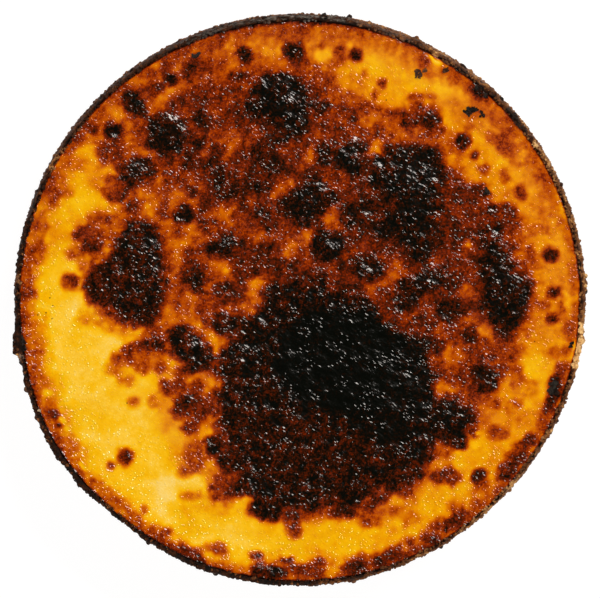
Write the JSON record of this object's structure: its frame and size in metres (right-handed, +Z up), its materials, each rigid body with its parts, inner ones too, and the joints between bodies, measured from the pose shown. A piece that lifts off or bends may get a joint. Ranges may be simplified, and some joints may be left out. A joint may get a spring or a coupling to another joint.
{
  "type": "baked cheesecake",
  "caption": "Whole round baked cheesecake with a scorched golden skin, set in a thin charred crumb crust with a rough, chipped rim and a flat underside.",
  "frame": {"origin": "middle of the flat underside, on the surface the cake stands on", "axes": "+Z up, the cake's round axis; +X to the right and +Y to the top of the reference view, which looks straight down"},
  "size_m": [0.2019, 0.2017, 0.0457],
  "materials": {
    "charred_crumb": "charred biscuit crumb, rough and dull, black at the rim and brown down the side",
    "baked_custard": "baked cheese custard, moist and glossy, golden yellow with rust brown and black scorch marks"
  },
  "bodies": {
    "root": {"crust": "charred_crumb", "filling": "baked_custard"}
  },
  "joints": []
}
